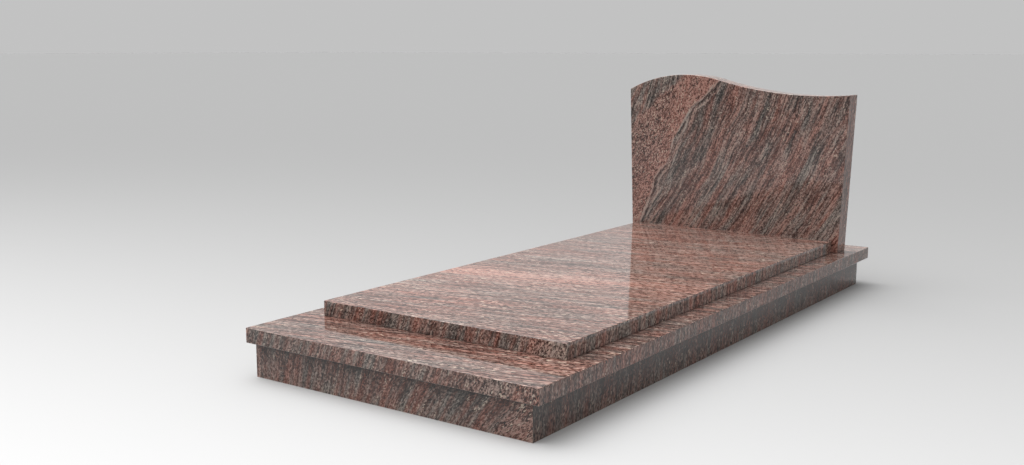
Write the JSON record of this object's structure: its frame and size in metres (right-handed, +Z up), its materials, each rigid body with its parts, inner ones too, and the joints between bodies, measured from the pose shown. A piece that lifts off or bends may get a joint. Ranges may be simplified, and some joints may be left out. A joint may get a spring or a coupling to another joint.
{
  "type": "granite grave monument with upright headstone",
  "caption": "Polished granite grave monument: hollow kerb plinth, overhanging base slab, ledger slab and an upright headstone with flared sides and a flowing wave top.",
  "frame": {"origin": "on the ground, under the middle of the base slab", "axes": "+Z up, +Y along the grave towards the headstone, +X to the right of a person who faces the headstone from the foot end"},
  "size_m": [1, 2.32, 0.812],
  "materials": {
    "headstone_granite": "mirror-polished red-brown and grey veined granite, its bands rising to the right",
    "ledger_granite": "mirror-polished red-brown and grey veined granite, its bands running across the slab",
    "slab_granite": "mirror-polished red-brown and grey veined granite with small bevelled arrises",
    "kerb_granite": "polished outer faces of the same veined granite, sawn inner faces"
  },
  "bodies": {
    "root": {"kerb_foot": "kerb_granite", "kerb_right": "kerb_granite", "kerb_head": "kerb_granite", "kerb_left": "kerb_granite", "base_slab": "slab_granite", "ledger_slab": "ledger_granite", "headstone": "headstone_granite"}
  },
  "joints": []
}
